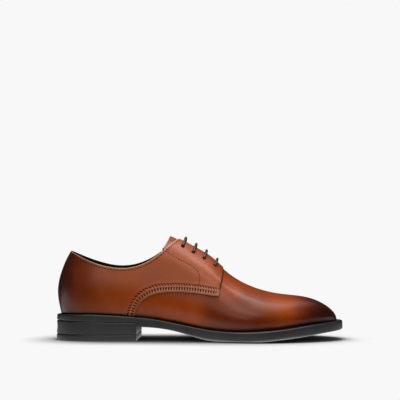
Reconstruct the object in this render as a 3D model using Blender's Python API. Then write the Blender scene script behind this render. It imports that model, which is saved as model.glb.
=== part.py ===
"""A plain derby shoe for the right foot, in metres, +Z up, toe towards +X, outer side towards -Y.

The upper is shaped on one surface, the last, from a table of cross sections. Every piece that follows the
foot, such as the quarters, the tongue, the insole and the lace, is laid on that same surface.
"""

import bmesh
import bpy
import numpy as np
from mathutils import Matrix, Vector

# Driving sizes
SOLE_LENGTH = 0.305
BALL_WIDTH = 0.108
INSTEP_HEIGHT = 0.090  # top of the instep over the sole
BELLY_HEIGHT = 0.023  # widest level of the heel's sides over the sole
HEEL_LIFT = 0.0206  # underside of the sole over the ground, at the seat's rear
TOP_PIECE_THICKNESS = 0.0063
UPPER_WALL = 0.0016
QUARTER_THICKNESS = 0.0011
TONGUE_THICKNESS = 0.0022
INSOLE_THICKNESS = 0.0028
SEAM_GAP = 0.0003  # between pieces that touch

# The last ends inside the sole's edge
TOE_LEDGE = 0.0061
HEEL_LENGTH = 0.0875

# Throat, from the facings' corners down to the vamp
THROAT_FOOT = 0.1768  # where the quarters join over the vamp, from the sole's rear
THROAT_TOP_HALF = 0.0085
THROAT_FOOT_HALF = 0.0050
FACING_CORNER = 0.1335  # top corner of the facings, from the sole's rear
FACING_CORNER_ROUND = 0.05  # share of a rib over which that corner is rounded
FRONT_EDGE_SLANT = 0.0050  # the quarter's front edge leans back this much at its foot
FRONT_EDGE_REACH = 0.030

# Lace and its holes
LACE_DIAMETER = 0.0028
HOLE_DIAMETER = 0.0042
HOLE_COUNT = 4
FIRST_HOLE = 0.1341
LAST_HOLE = 0.1677
FIRST_INSET = 0.0115  # from the facing's edge to the hole, along the leather
LAST_INSET = 0.0180
LACE_LEAN = 0.0018  # a bar's middle lies this much further forward than its ends

# Tongue
TONGUE_ROOT = 0.1900
TONGUE_END = 0.1212
TONGUE_END_SLANT = 0.0085  # its corners lie this much further back than its middle
TONGUE_HALF = 0.0315  # from the middle to each edge, along the leather

# Edges of the sole unit
EDGE_CHAMFER = 0.0010
TREAD_INSET = 0.0130  # the tread's flat starts this far inside the edge
TOP_INSET = 0.0080
HEEL_WAIST = 0.0006  # how far the heel's sides are drawn in between their edges
GROOVE_DEPTH = 0.0009
SEAT_FALL = 0.0019  # the sole's underside falls this much from the heel's rear to its breast
QUARTER_HEM = 0.0008  # the quarters end this far over the sole
QUARTER_PLAY = 0.0004  # between the upper and the quarters over it
TONGUE_PLAY = 0.0008  # between the tongue and the facings over it
INSOLE_PLAY = 0.0007  # between the insole's edge and the upper
VAMP_SPREAD = 0.060  # over this length in front of the throat the ribs spread evenly

# Cross sections of sole and last. Stations run from the heel, 0, to the toe, 1, as shares of the length.
# lateral, medial: half widths of the sole, shares of BALL_WIDTH
# inside: the last's half width as a share of the sole's
# tuck: how much narrower the last is at the sole than at its belly
# belly, ridge: heights over the sole, shares of BELLY_HEIGHT and INSTEP_HEIGHT
# flank, shoulder: half widths between belly and ridge, shares of the belly's
# sway: the ridge's place towards the inner side, share of BALL_WIDTH
SECTION_COLUMNS = "station lateral medial inside tuck belly ridge flank shoulder sway"
SECTIONS = (
    (0.000, 0.000, 0.000, 0.95, 0.12, 1.00, 0.920, 0.90, 0.62, 0.000),
    (0.060, 0.268, 0.266, 0.96, 0.12, 1.00, 0.940, 0.90, 0.62, 0.000),
    (0.160, 0.318, 0.314, 0.97, 0.12, 1.00, 0.970, 0.90, 0.62, 0.000),
    (0.280, 0.306, 0.290, 0.99, 0.14, 0.96, 1.007, 0.90, 0.61, 0.002),
    (0.400, 0.318, 0.250, 1.00, 0.15, 0.88, 1.034, 0.90, 0.60, 0.010),
    (0.450, 0.342, 0.256, 0.99, 0.14, 0.82, 0.989, 0.90, 0.59, 0.015),
    (0.500, 0.380, 0.277, 0.98, 0.12, 0.76, 0.921, 0.89, 0.58, 0.021),
    (0.550, 0.430, 0.314, 0.96, 0.10, 0.69, 0.836, 0.88, 0.57, 0.027),
    (0.600, 0.482, 0.362, 0.94, 0.07, 0.62, 0.697, 0.87, 0.56, 0.033),
    (0.700, 0.530, 0.436, 0.92, 0.04, 0.50, 0.493, 0.87, 0.57, 0.042),
    (0.800, 0.472, 0.456, 0.90, 0.03, 0.42, 0.381, 0.89, 0.60, 0.040),
    (0.900, 0.350, 0.372, 0.89, 0.03, 0.33, 0.296, 0.90, 0.62, 0.026),
    (0.965, 0.226, 0.242, 0.88, 0.03, 0.22, 0.180, 0.91, 0.62, 0.012),
    (1.000, 0.000, 0.000, 0.88, 0.03, 0.00, 0.000, 0.91, 0.62, 0.000),
)

# Side view of the sole. Stations are shares of SOLE_LENGTH, heights shares of HEEL_LIFT over the ground.
# top: the face that the upper stands on; edge: the underside at the rim; tread: the underside's middle
PROFILE_COLUMNS = "station top edge tread"
PROFILE = (
    (0.000, 1.300, 0.710, 0.710),
    (0.150, 1.300, 0.710, 0.710),
    (0.290, 1.165, 0.700, 0.700),
    (0.350, 1.065, 0.655, 0.640),
    (0.410, 0.905, 0.525, 0.490),
    (0.465, 0.745, 0.340, 0.270),
    (0.520, 0.605, 0.165, 0.060),
    (0.560, 0.540, 0.112, 0.000),
    (0.700, 0.543, 0.112, 0.000),
    (0.780, 0.640, 0.215, 0.095),
    (0.855, 0.780, 0.320, 0.215),
    (0.940, 0.905, 0.450, 0.400),
    (1.000, 0.985, 0.535, 0.535),
)

# Side view of the back seam: how far each level of the last stands in from the sole's rear, in BACK_DEPTH
BACK_DEPTH = 0.0300
BACK = {"feather": 0.20, "belly": 0.06, "flank": 0.215, "shoulder": 0.62, "ridge": 1.0}
LEVELS = ("feather", "belly", "flank", "shoulder", "ridge")
FLANK_LEVEL = 0.42  # flank and shoulder heights, as shares of the way from belly to ridge
SHOULDER_LEVEL = 0.80
RIB_KNOTS = (-1.0, -0.80, -0.55, -0.25, 0.0, 0.25, 0.55, 0.80, 1.0)

# Topline in side view: heights over the sole and the inner side's rise, in shares of INSTEP_HEIGHT
TOPLINE_COLUMNS = "station height medial_rise"
TOPLINE = (
    (0.050, 0.738, 0.000),
    (0.122, 0.613, 0.022),
    (0.188, 0.551, 0.038),
    (0.237, 0.545, 0.053),
    (0.300, 0.603, 0.069),
    (0.365, 0.767, 0.057),
    (0.418, 0.962, 0.016),
    (0.440, 1.036, 0.000),
)

# The quarter's lower edge in side view, in the same shares
LOWER_EDGE_COLUMNS = "station height"
LOWER_EDGE = (
    (0.279, 0.000),
    (0.292, 0.125),
    (0.312, 0.214),
    (0.344, 0.284),
    (0.383, 0.329),
    (0.449, 0.372),
    (0.500, 0.386),
    (0.564, 0.380),
)

# A lace bar's ends: run along the leather and height of its middle over it, in LACE_DIAMETER
LACE_BEND = (
    (0.00, -0.67),
    (0.00, 0.10),
    (0.16, 0.44),
    (0.60, 0.63),
    (1.20, 0.67),
)

# Where the sole's outline turns round its ends, in station angle
HEEL_TURN = 0.75
TOE_TURN = 1.10

# Fineness of the facets
RIB_STEPS = 9  # of the upper, from the sole to the topline
QUARTER_STEPS = 9
THROAT_STEPS = 2
TONGUE_STEPS = 4  # from the middle to each edge
INSOLE_STEPS = 2
LACE_STEPS = 6
HOLE_SIDES = 12
RIB_PITCH = 0.0072  # along the shoe
CLIMB_START, CLIMB_END, CLIMB_PITCH = 0.0830, 0.0970, 0.0026  # where the quarters' lower edge climbs
FACING_START, FACING_END, FACING_PITCH = 0.1120, 0.1400, 0.0034  # where the topline climbs to the facing
THROAT_PITCH = 0.0060
REAR_PITCHES = (
    (0.0, CLIMB_START, RIB_PITCH),
    (CLIMB_START, CLIMB_END, CLIMB_PITCH),
    (CLIMB_END, FACING_START, RIB_PITCH),
    (FACING_START, FACING_END, FACING_PITCH),
    (FACING_END, THROAT_FOOT, THROAT_PITCH),
)
SOLE_PITCH = 0.0085
RIB_SAMPLES = 120  # points from which even steps along a rib are worked out
OUTLINE_SAMPLES = 400
CLIMB_SAMPLES = 241
NUDGE = 1e-4  # of angle and rib place, for the last's slopes
TIP_ANGLE = 0.01  # nearer than this to the toe's tip, the last faces straight ahead
BACK_ANGLE = 0.1  # the back seam lies within this angle of the heel
PUNCH_REACH = 0.0035
TONGUE_END_REACH = 0.025
WELD = 1e-6
SHARP_ANGLE = np.radians(35)

COLOURS = {
    "calf": (0.42, 0.13, 0.035),
    "lining": (0.045, 0.032, 0.026),
    "sock": (0.30, 0.17, 0.09),
    "rubber": (0.040, 0.036, 0.038),
    "lace": (0.060, 0.022, 0.012),
}
ROUGHNESS = {"calf": 0.32, "lining": 0.6, "sock": 0.55, "rubber": 0.5, "lace": 0.7}


def columns(names, rows):
    """The table's columns by name."""
    return dict(zip(names.split(), np.array(rows).T))


def smooth(knots, values, start_level=True, end_level=True):
    """A curve of continuous curvature through the values. It leaves each end level, or else unbent."""
    knots = np.asarray(knots, float)
    values = np.asarray(values, float)
    wide = values.reshape(len(knots), -1)
    step = np.diff(knots)
    slope = np.diff(wide, axis=0) / step[:, None]
    last = len(knots) - 1
    system = np.eye(last + 1)
    right = np.zeros_like(wide)
    for i in range(1, last):
        system[i, i - 1 : i + 2] = step[i - 1], 2 * (step[i - 1] + step[i]), step[i]
        right[i] = 6 * (slope[i] - slope[i - 1])
    if start_level:
        system[0, :2] = 2 * step[0], step[0]
        right[0] = 6 * slope[0]
    if end_level:
        system[last, -2:] = step[-1], 2 * step[-1]
        right[last] = -6 * slope[-1]
    bend = np.linalg.solve(system, right)

    def at(place):
        place = np.asarray(place, float)
        i = np.clip(np.searchsorted(knots, place) - 1, 0, last - 1)
        width = step[i]
        b = ((place - knots[i]) / width)[..., None]
        a = 1 - b
        curve = a * wide[i] + b * wide[i + 1]
        curve += ((a**3 - a) * bend[i] + (b**3 - b) * bend[i + 1]) * width[..., None] ** 2 / 6
        return curve.reshape(place.shape + values.shape[1:])

    return at


def angle_of(share):
    """Angle of a station: its half cosine runs round both rounded ends, 0 at the heel and pi at the toe."""
    return np.arccos(1 - 2 * np.clip(share, 0, 1))


def share_of(angle):
    return (1 - np.cos(angle)) / 2


def ease(value):
    value = np.clip(value, 0, 1)
    return value * value * (3 - 2 * value)


section_table = columns(SECTION_COLUMNS, SECTIONS)
ANGLES = angle_of(section_table["station"])
ROUND_ENDS = {"lateral": (False, False), "medial": (False, False), "sway": (False, False)}
ROUND_TOE = {"belly": (True, False), "ridge": (True, False)}
SECTION = {
    name: smooth(ANGLES, section_table[name], *(ROUND_ENDS | ROUND_TOE).get(name, (True, True)))
    for name in section_table
    if name != "station"
}

profile_table = columns(PROFILE_COLUMNS, PROFILE)

topline_table = columns(TOPLINE_COLUMNS, TOPLINE)
TOPLINE_HEIGHT = smooth(topline_table["station"], topline_table["height"], False, False)
MEDIAL_RISE = smooth(topline_table["station"], topline_table["medial_rise"])
lower_table = columns(LOWER_EDGE_COLUMNS, LOWER_EDGE)
LOWER_HEIGHT = smooth(lower_table["station"], lower_table["height"], False, False)

RIB_BASIS = smooth(RIB_KNOTS, np.eye(len(RIB_KNOTS)), False, False)
LAST_LENGTH = SOLE_LENGTH - TOE_LEDGE

densely = np.linspace(0, np.pi, OUTLINE_SAMPLES)
MIDDLE_Y = BALL_WIDTH * (SECTION["medial"](densely).max() - SECTION["lateral"](densely).max()) / 2


def sole_height(name):
    """Height of the sole's top, edge or tread over the ground, as a function of x from the sole's rear."""
    curve = smooth(profile_table["station"], profile_table[name], True, False)
    return lambda x: np.maximum(curve(np.clip(x / SOLE_LENGTH, 0, 1)), 0) * HEEL_LIFT


sole_top = sole_height("top")
sole_edge = sole_height("edge")
sole_tread = sole_height("tread")


def guides(angle):
    """Points of the last's nine guide lines at each station angle, from outer feather over ridge to inner."""
    part = {name: curve(angle) for name, curve in SECTION.items()}
    heel = np.clip(np.cos(angle), 0, 1) ** 3
    ridge_y = part["sway"] * BALL_WIDTH
    points = np.zeros(np.shape(angle) + (len(RIB_KNOTS), 3))
    for number, level in enumerate(LEVELS):
        x = LAST_LENGTH * share_of(angle) + BACK[level] * BACK_DEPTH * heel
        foot = sole_top(x) + SEAM_GAP
        belly = foot + part["belly"] * BELLY_HEIGHT
        ridge = foot + part["ridge"] * INSTEP_HEIGHT
        climb = {"flank": FLANK_LEVEL, "shoulder": SHOULDER_LEVEL, "ridge": 1.0}.get(level, 0.0)
        z = foot if level == "feather" else belly + climb * (ridge - belly)
        for side, width in ((-1, part["lateral"]), (1, part["medial"])):
            belly_y = side * width * part["inside"] * BALL_WIDTH
            y = {
                "feather": belly_y * (1 - part["tuck"]),
                "belly": belly_y,
                "flank": ridge_y + part["flank"] * (belly_y - ridge_y),
                "shoulder": ridge_y + part["shoulder"] * (belly_y - ridge_y),
                "ridge": ridge_y,
            }[level]
            place = number if side < 0 else len(RIB_KNOTS) - 1 - number
            points[..., place, :] = np.stack([x, y, z], axis=-1)
    return points


def on_last(angle, v, out=0.0):
    """Points of the last at station angle and rib place v, from -1 outside over 0 to 1 inside, moved out."""
    angle, v, out = np.broadcast_arrays(np.asarray(angle, float), np.asarray(v, float), out)

    def point(angle, v):
        return np.einsum("...k,...kc->...c", RIB_BASIS(v), guides(angle))

    tip = angle > np.pi - TIP_ANGLE
    inner = np.where(tip, np.pi - TIP_ANGLE, angle)
    along = point(inner + NUDGE, v) - point(inner - NUDGE, v)
    across = point(inner, v + NUDGE) - point(inner, v - NUDGE)
    normal = np.cross(along, across)
    normal /= np.linalg.norm(normal, axis=-1, keepdims=True)
    normal = np.where(tip[..., None], [1.0, 0.0, 0.0], normal)
    return point(angle, v) + normal * out[..., None]


def climb(angle, side, passed):
    """The rib place at which passed(points) first turns positive on the way up from the sole."""
    v = side * np.linspace(1, 0, CLIMB_SAMPLES)
    measure = passed(on_last(np.full(v.shape, angle), v))
    if measure[0] >= 0:
        return float(side)
    first = int(np.argmax(measure >= 0))
    if measure[first] < 0:
        return 0.0
    share = -measure[first - 1] / (measure[first] - measure[first - 1])
    return float(v[first - 1] + share * (v[first] - v[first - 1]))


def topline(side):
    def passed(points):
        station = np.clip(points[:, 0] / SOLE_LENGTH, TOPLINE[0][0], TOPLINE[-1][0])
        height = TOPLINE_HEIGHT(station) + max(side, 0) * MEDIAL_RISE(station)
        return points[:, 2] - sole_top(points[:, 0]) - height * INSTEP_HEIGHT

    return passed


def lower_edge(points):
    station = np.clip(points[:, 0] / SOLE_LENGTH, LOWER_EDGE[0][0], LOWER_EDGE[-1][0])
    height = np.maximum(LOWER_HEIGHT(station) * INSTEP_HEIGHT, QUARTER_HEM)
    return points[:, 2] - sole_top(points[:, 0]) - height


def throat_half(x):
    share = np.clip((x - FACING_CORNER) / (THROAT_FOOT - FACING_CORNER), 0, 1)
    return THROAT_TOP_HALF + share * (THROAT_FOOT_HALF - THROAT_TOP_HALF)


def throat_edge(points):
    ridge_y = SECTION["sway"](angle_of(points[:, 0] / LAST_LENGTH)) * BALL_WIDTH
    return throat_half(points[:, 0]) - np.abs(points[:, 1] - ridge_y)


def upper_end(angle, side):
    """Where a rib ends: at the topline, or at the throat's edge, with the corner between them rounded."""
    if LAST_LENGTH * share_of(angle) < FACING_START:
        return climb(angle, side, topline(side))
    ends = abs(climb(angle, side, topline(side))), abs(climb(angle, side, throat_edge))
    blend = np.clip(0.5 + (ends[0] - ends[1]) / (2 * FACING_CORNER_ROUND), 0, 1)
    rounded = blend * ends[0] + (1 - blend) * ends[1] + FACING_CORNER_ROUND * blend * (1 - blend)
    return side * rounded


def length_along(points):
    """Running length of a line through the points."""
    return np.concatenate([[0], np.cumsum(np.linalg.norm(np.diff(points, axis=0), axis=1))])


def rib_angles(start, end, pitch):
    """Station angles between two angles at even steps along the belly's outline."""
    angles = np.linspace(start, end, OUTLINE_SAMPLES)
    run = length_along(guides(angles)[:, 1])
    count = max(2, round(run[-1] / pitch))
    return np.interp(np.linspace(0, run[-1], count + 1), run, angles)


def rear_ribs(start):
    """Station angles from the heel to the throat's foot, closer where the leather's edges climb steeply."""
    angles = []
    for begin, end, pitch in REAR_PITCHES:
        angles.append(rib_angles(max(start, angle_at(begin)), angle_at(end), pitch)[:-1])
    return np.concatenate([*angles, [angle_at(THROAT_FOOT)]])


def angle_at(x):
    """Angle of the station at x from the sole's rear, in the forward half, where ribs are flat."""
    return angle_of(x / LAST_LENGTH)


def world(points):
    """From the sole's rear on the heel's middle line to the middle of the shoe's box."""
    return points - np.array([SOLE_LENGTH / 2, MIDDLE_Y, 0.0])


def material(name, kind):
    surface = bpy.data.materials.new(name)
    surface.use_nodes = True
    shader = surface.node_tree.nodes["Principled BSDF"]
    shader.inputs["Base Color"].default_value = (*COLOURS[kind], 1.0)
    shader.inputs["Roughness"].default_value = ROUGHNESS[kind]
    shader.inputs["Metallic"].default_value = 0.0
    return surface


def add_object(name, data, kind):
    """An object of the mesh or curve, with its own material."""
    data.name = name
    data.materials.append(material(name, kind))
    piece = bpy.data.objects.new(name, data)
    bpy.context.scene.collection.objects.link(piece)
    return piece


def finished(mesh):
    """The mesh as data, shaded smooth but for its sharp edges."""
    data = bpy.data.meshes.new("mesh")
    mesh.to_mesh(data)
    mesh.free()
    data.shade_smooth()
    data.set_sharp_from_angle(angle=SHARP_ANGLE)
    return data


def sheet(points, keep=None):
    """A grid laid through points[row, column], with the faces that keep turns down left out.

    Where two of its edges fall on each other they are joined. Its faces look to the side from which the
    columns turn to the left of the rows.
    """
    rows, across = points.shape[0] - 1, points.shape[1] - 1
    mesh = bmesh.new()
    bmesh.ops.create_grid(mesh, x_segments=rows, y_segments=across, size=1.0)
    places = world(points)
    spot = {}
    for vert in mesh.verts:
        row = round((vert.co.x + 1) / 2 * rows)
        column = round((vert.co.y + 1) / 2 * across)
        spot[vert] = row, column
        vert.co = places[row, column]
    if keep:
        corners = {face: np.min([spot[vert] for vert in face.verts], axis=0) for face in mesh.faces}
        left_out = [face for face, corner in corners.items() if not keep(*corner)]
        bmesh.ops.delete(mesh, geom=left_out, context="FACES")
    bmesh.ops.remove_doubles(mesh, verts=mesh.verts, dist=WELD)
    return mesh


def thicken(piece, thickness, outwards):
    wall = piece.modifiers.new("thickness", "SOLIDIFY")
    wall.thickness = thickness
    wall.offset = 1.0 if outwards else -1.0
    wall.use_even_offset = True
    wall.use_quality_normals = True


def punch(piece, cutter):
    holes = piece.modifiers.new("lace holes", "BOOLEAN")
    holes.operation = "DIFFERENCE"
    holes.solver = "EXACT"
    holes.object = cutter


def rib(angles, start, end, steps):
    """Angles and rib places from start to end at even steps along the leather."""
    v = np.linspace(start, end, len(angles))
    run = length_along(on_last(angles, v))
    even = np.linspace(0, run[-1], steps + 1)
    return np.interp(even, run, angles), np.interp(even, run, v)


def make_upper():
    """Vamp, back part and lining in one wall, open at the collar, at the throat and underneath."""
    foot = angle_at(THROAT_FOOT)
    rows = np.concatenate([rear_ribs(0)[:-1], rib_angles(foot, np.pi, RIB_PITCH)])
    foot_row = int(np.argmin(np.abs(rows - foot)))
    middle = RIB_STEPS / (2 * RIB_STEPS + THROAT_STEPS)
    points = []
    for row, angle in enumerate(rows):
        steady = np.full(RIB_SAMPLES, angle)
        outer, inner = upper_end(angle, -1), upper_end(angle, 1)
        if row == 0:
            inner = -outer
        _, over = rib(steady, -1, 1, 2 * RIB_STEPS + THROAT_STEPS)
        spread = ease((LAST_LENGTH * share_of(angle) - THROAT_FOOT) / VAMP_SPREAD)
        outer += spread * (over[RIB_STEPS] - outer)
        inner += spread * (over[-1 - RIB_STEPS] - inner)
        v = np.concatenate([
            rib(steady, -1, outer, RIB_STEPS)[1],
            rib(steady, outer, inner, THROAT_STEPS)[1][1:-1],
            rib(steady, inner, 1, RIB_STEPS)[1],
        ])
        points.append(on_last(np.full(v.shape, angle), v))

    def keep(row, column):
        return row >= foot_row or not RIB_STEPS <= column < RIB_STEPS + THROAT_STEPS

    upper = add_object("upper", finished(sheet(np.array(points), keep)), "calf")
    thicken(upper, UPPER_WALL, outwards=False)
    return upper


def make_quarter(name, side):
    """One quarter with its facing, laid over the upper."""
    near_back = np.linspace(0, BACK_ANGLE, RIB_SAMPLES)
    start = np.interp(SEAM_GAP / 2, np.abs(guides(near_back)[:, 1, 1]), near_back)
    rows = rear_ribs(start)
    up = np.linspace(0, 1, RIB_SAMPLES)
    points = []
    for angle in rows:
        x = LAST_LENGTH * share_of(angle)
        slant = FRONT_EDGE_SLANT * ease((x - THROAT_FOOT + FRONT_EDGE_REACH) / FRONT_EDGE_REACH)
        angles = angle_at(x - slant * (1 - up) ** 2)
        low, top = climb(angles[0], side, lower_edge), upper_end(angle, side)
        angles, v = rib(angles, low, top, QUARTER_STEPS)
        points.append(on_last(angles, v, QUARTER_PLAY)[::-side])
    quarter = add_object(name, finished(sheet(np.array(points))), "calf")
    thicken(quarter, QUARTER_THICKNESS, outwards=True)
    return quarter


def make_tongue():
    """The tongue, under the facings, from beneath the vamp to above the lace."""
    rows = rib_angles(angle_at(TONGUE_END), angle_at(TONGUE_ROOT), RIB_PITCH)
    across = np.linspace(-1, 1, 2 * TONGUE_STEPS + 1)
    points = []
    for angle in rows:
        x = LAST_LENGTH * share_of(angle)
        slant = TONGUE_END_SLANT * ease((TONGUE_END + TONGUE_END_REACH - x) / TONGUE_END_REACH)
        edges = []
        for side in (-1, 1):
            v = side * np.linspace(0, 1, RIB_SAMPLES)
            run = length_along(on_last(np.full(RIB_SAMPLES, angle), v))
            edges.append(np.interp(TONGUE_HALF, run, np.abs(v)))
        v = across * np.where(across < 0, edges[0], edges[1])
        points.append(on_last(angle_at(x - slant * across**2), v, -UPPER_WALL - TONGUE_PLAY))
    tongue = add_object("tongue", finished(sheet(np.array(points))), "calf")
    thicken(tongue, TONGUE_THICKNESS, outwards=False)


def make_insole():
    """The board that closes the upper's foot from inside."""
    rows = rib_angles(0, np.pi, SOLE_PITCH)
    across = np.linspace(0, 1, INSOLE_STEPS + 1)[:, None]
    points = []
    for angle in rows:
        outer, inner = on_last([angle, angle], [-1, 1], -UPPER_WALL - INSOLE_PLAY)
        line = outer + across * (inner - outer)
        line[:, 2] = sole_top(line[:, 0]) + SEAM_GAP + INSOLE_THICKNESS
        points.append(line)
    insole = add_object("insole", finished(sheet(np.array(points))), "sock")
    thicken(insole, INSOLE_THICKNESS, outwards=False)


def plan_point(angle, side, inset):
    """A point of the sole's outline in plan, drawn in from the edge."""
    width = SECTION["lateral" if side < 0 else "medial"](angle)
    heel_turn = np.cos(np.minimum(angle / HEEL_TURN, 1) * np.pi / 2)
    toe_turn = np.cos(np.minimum((np.pi - angle) / TOE_TURN, 1) * np.pi / 2)
    x = SOLE_LENGTH * share_of(angle) + inset * (heel_turn - toe_turn)
    return x, side * width * (BALL_WIDTH - 2 * inset)


def stack(angles, rings):
    """A closed solid between two halves of rings in plan, each ring an inset and a height(x)."""
    points = []
    for angle in angles:
        row = []
        for side, order in ((-1, rings), (1, rings[::-1])):
            for inset, height in order:
                x, y = plan_point(angle, side, inset)
                row.append((x, y, float(height(x))))
        points.append(row + row[:1])
    mesh = sheet(np.array(points))
    bmesh.ops.holes_fill(mesh, edges=[edge for edge in mesh.edges if edge.is_boundary], sides=0)
    bmesh.ops.recalc_face_normals(mesh, faces=mesh.faces)
    return mesh


def seat_underside(x):
    """Underside of the sole over the heel."""
    return HEEL_LIFT - SEAT_FALL * x / HEEL_LENGTH


def make_outsole():
    """The sole with its ledge, arch and toe spring, let in over the heel's block."""
    breast = angle_of(HEEL_LENGTH / SOLE_LENGTH)
    waist = angle_of((HEEL_LENGTH + SEAM_GAP) / SOLE_LENGTH)
    rows = np.concatenate([rib_angles(0, breast, SOLE_PITCH), rib_angles(waist, np.pi, SOLE_PITCH)])

    def under(height):
        return lambda x: height(x) if x > HEEL_LENGTH + SEAM_GAP / 2 else seat_underside(x)

    rings = (
        (TOP_INSET, sole_top),
        (EDGE_CHAMFER, sole_top),
        (0.0, lambda x: sole_top(x) - EDGE_CHAMFER),
        (0.0, lambda x: under(sole_edge)(x) + EDGE_CHAMFER),
        (EDGE_CHAMFER, under(sole_edge)),
        (TREAD_INSET, under(sole_tread)),
    )
    add_object("outsole", finished(stack(rows, rings)), "rubber")


def make_heel():
    """The heel's block, its sides a little drawn in, and the piece that it walks on."""
    rows = rib_angles(0, angle_of(HEEL_LENGTH / SOLE_LENGTH), SOLE_PITCH)
    foot = TOP_PIECE_THICKNESS + SEAM_GAP

    def block_top(x):
        return seat_underside(x) - SEAM_GAP

    block = (
        (TOP_INSET, block_top),
        (GROOVE_DEPTH, block_top),
        (0.0, lambda x: block_top(x) - GROOVE_DEPTH),
        (HEEL_WAIST, lambda x: (block_top(x) + foot) / 2),
        (0.0, lambda x: foot + GROOVE_DEPTH),
        (GROOVE_DEPTH, lambda x: foot),
        (TOP_INSET, lambda x: foot),
    )
    add_object("heel_block", finished(stack(rows, block)), "rubber")
    top_piece = (
        (TOP_INSET, lambda x: TOP_PIECE_THICKNESS),
        (GROOVE_DEPTH, lambda x: TOP_PIECE_THICKNESS),
        (0.0, lambda x: TOP_PIECE_THICKNESS - GROOVE_DEPTH),
        (0.0, lambda x: EDGE_CHAMFER / 2),
        (EDGE_CHAMFER / 2, lambda x: 0.0),
        (TOP_INSET, lambda x: 0.0),
    )
    add_object("heel_top_piece", finished(stack(rows, top_piece)), "rubber")


def hole_place(number, side):
    """Station angle and rib place of a lace hole."""
    share = number / (HOLE_COUNT - 1)
    angle = angle_at(FIRST_HOLE + share * (LAST_HOLE - FIRST_HOLE))
    v = np.linspace(upper_end(angle, side), side, RIB_SAMPLES)
    run = length_along(on_last(np.full(RIB_SAMPLES, angle), v))
    inset = FIRST_INSET + share * (LAST_INSET - FIRST_INSET)
    return angle, float(np.interp(inset, run, v))


def make_hole_cutter(name, side):
    """The punches for one facing's lace holes, in one hidden object."""
    mesh = bmesh.new()
    for number in range(HOLE_COUNT):
        angle, v = hole_place(number, side)
        low, high = world(on_last([angle, angle], [v, v], [-PUNCH_REACH, PUNCH_REACH]))
        axis = Vector(high - low)
        place = Matrix.Translation((low + high) / 2) @ axis.to_track_quat("Z", "Y").to_matrix().to_4x4()
        bmesh.ops.create_cone(
            mesh,
            cap_ends=True,
            segments=HOLE_SIDES,
            radius1=HOLE_DIAMETER / 2,
            radius2=HOLE_DIAMETER / 2,
            depth=axis.length,
            matrix=place,
        )
    cutter = add_object(name, finished(mesh), "lining")
    cutter.hide_render = True
    cutter.display_type = "WIRE"
    return cutter


def make_lace_bar(number):
    """A straight bar of round lace from hole to hole, its ends turned down into them."""
    (angle, outer), (_, inner) = hole_place(number, -1), hole_place(number, 1)
    across = np.linspace(-1, 1, RIB_SAMPLES)
    v = outer + (inner - outer) * (across + 1) / 2
    angles = angle_at(LAST_LENGTH * share_of(angle) + LACE_LEAN * (1 - across**2))
    run = length_along(on_last(angles, v))
    bend = np.array(LACE_BEND) * LACE_DIAMETER
    middle = np.linspace(bend[-1, 0], run[-1] - bend[-1, 0], LACE_STEPS + 1)[1:-1]
    runs = np.concatenate([bend[:, 0], middle, run[-1] - bend[::-1, 0]])
    heights = np.concatenate([bend[:, 1], np.full(middle.shape, bend[-1, 1]), bend[::-1, 1]])
    face = QUARTER_PLAY + QUARTER_THICKNESS
    route = on_last(np.interp(runs, run, angles), np.interp(runs, run, v), face + heights)
    curve = bpy.data.curves.new("lace", "CURVE")
    curve.dimensions = "3D"
    curve.bevel_depth = LACE_DIAMETER / 2
    curve.bevel_resolution = 2
    curve.use_fill_caps = True
    spline = curve.splines.new("POLY")
    spline.points.add(len(route) - 1)
    for point, place in zip(spline.points, world(route)):
        point.co = (*place, 1.0)
    add_object(f"lace_bar_{number + 1}", curve, "lace")


def main():
    for old in list(bpy.data.objects):
        bpy.data.objects.remove(old)
    upper = make_upper()
    for name, side in (("lateral", -1), ("medial", 1)):
        quarter = make_quarter(f"quarter_{name}", side)
        cutter = make_hole_cutter(f"holes_{name}", side)
        punch(quarter, cutter)
        punch(upper, cutter)
    make_tongue()
    make_insole()
    make_outsole()
    make_heel()
    for number in range(HOLE_COUNT):
        make_lace_bar(number)


main()
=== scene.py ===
"""The looks of the derby shoe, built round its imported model. Metres, toe to +X, outer side to -Y."""

import math

import bmesh
import bpy
import numpy as np
from mathutils import Matrix, Vector
from mathutils.bvhtree import BVHTree


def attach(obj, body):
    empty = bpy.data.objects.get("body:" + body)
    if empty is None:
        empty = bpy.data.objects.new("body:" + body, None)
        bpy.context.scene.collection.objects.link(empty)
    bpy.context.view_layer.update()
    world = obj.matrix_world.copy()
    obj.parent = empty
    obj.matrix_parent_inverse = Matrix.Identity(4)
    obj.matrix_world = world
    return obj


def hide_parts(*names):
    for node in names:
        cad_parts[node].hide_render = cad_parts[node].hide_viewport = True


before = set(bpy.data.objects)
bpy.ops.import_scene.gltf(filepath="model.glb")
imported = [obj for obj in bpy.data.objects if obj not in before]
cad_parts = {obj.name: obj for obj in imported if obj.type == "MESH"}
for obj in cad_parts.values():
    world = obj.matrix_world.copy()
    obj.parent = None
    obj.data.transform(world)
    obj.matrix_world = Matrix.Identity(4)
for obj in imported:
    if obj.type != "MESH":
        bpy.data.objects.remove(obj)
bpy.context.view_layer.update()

# The studio: a white floor that runs into a white backdrop; it glows, lighting the shoe from below, and the
# shoe's shadow on it is painted into its glow. A low and a high softbox in front, one overhead and a dim one
# behind, placed as the leather's reflections show. The room itself is dark.

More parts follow.
